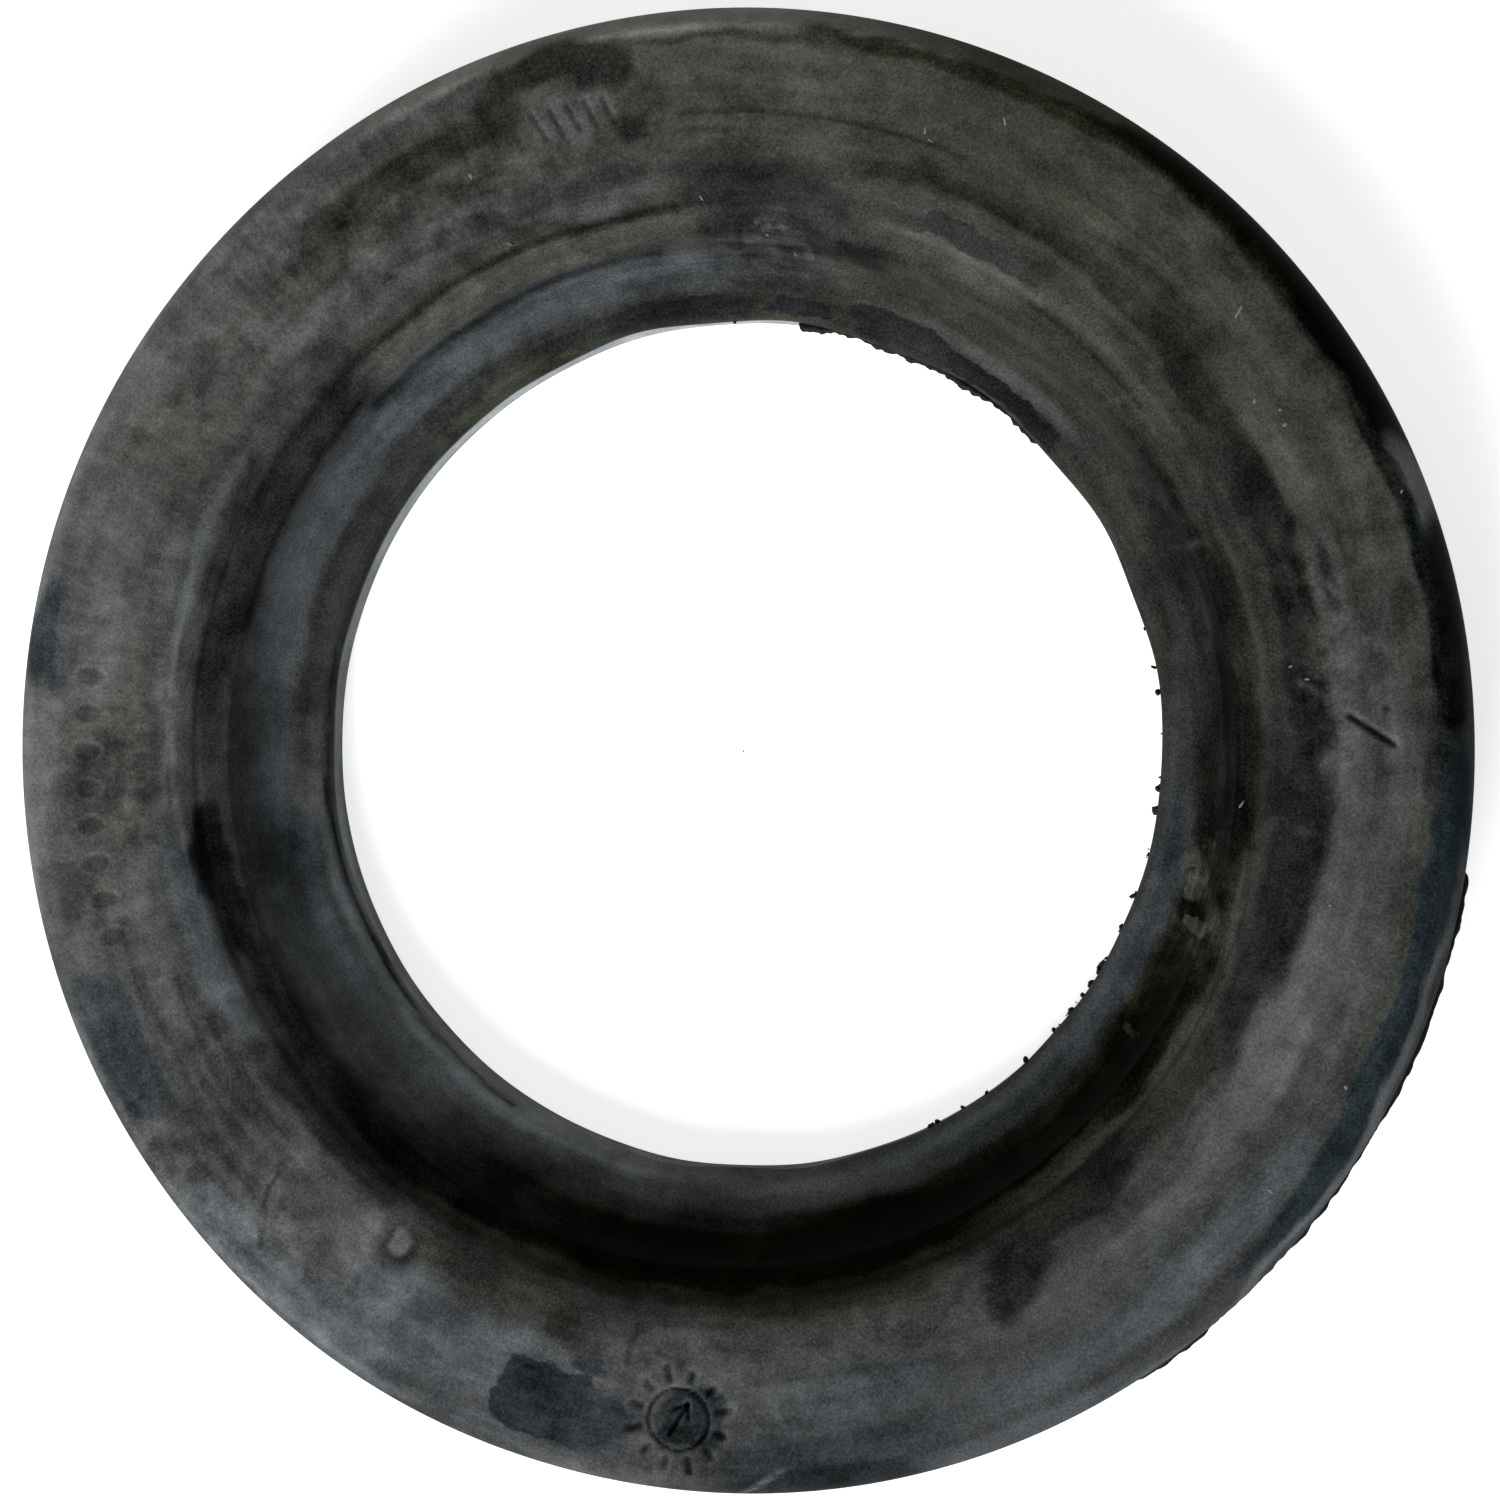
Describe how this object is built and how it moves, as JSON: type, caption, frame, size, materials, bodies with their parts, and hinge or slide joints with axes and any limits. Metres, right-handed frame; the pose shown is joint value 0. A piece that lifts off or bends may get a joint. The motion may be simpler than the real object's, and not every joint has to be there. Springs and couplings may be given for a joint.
{
  "type": "coil spring insulator",
  "caption": "Dished rubber ring with a flange that carries a coil spring's end and a collar below it that locates the spring from inside.",
  "frame": {"origin": "centre of the ring on the collar's end face, which it rests on", "axes": "+Z along the ring's axis, from the collar up to the flange; X and Y are free, as the ring is round"},
  "size_m": [0.15, 0.15, 0.0165],
  "materials": {
    "rubber": "matt moulded rubber with a dull grey bloom, wiped and scuffed"
  },
  "bodies": {
    "root": {"insulator_ring": "rubber"}
  },
  "joints": []
}
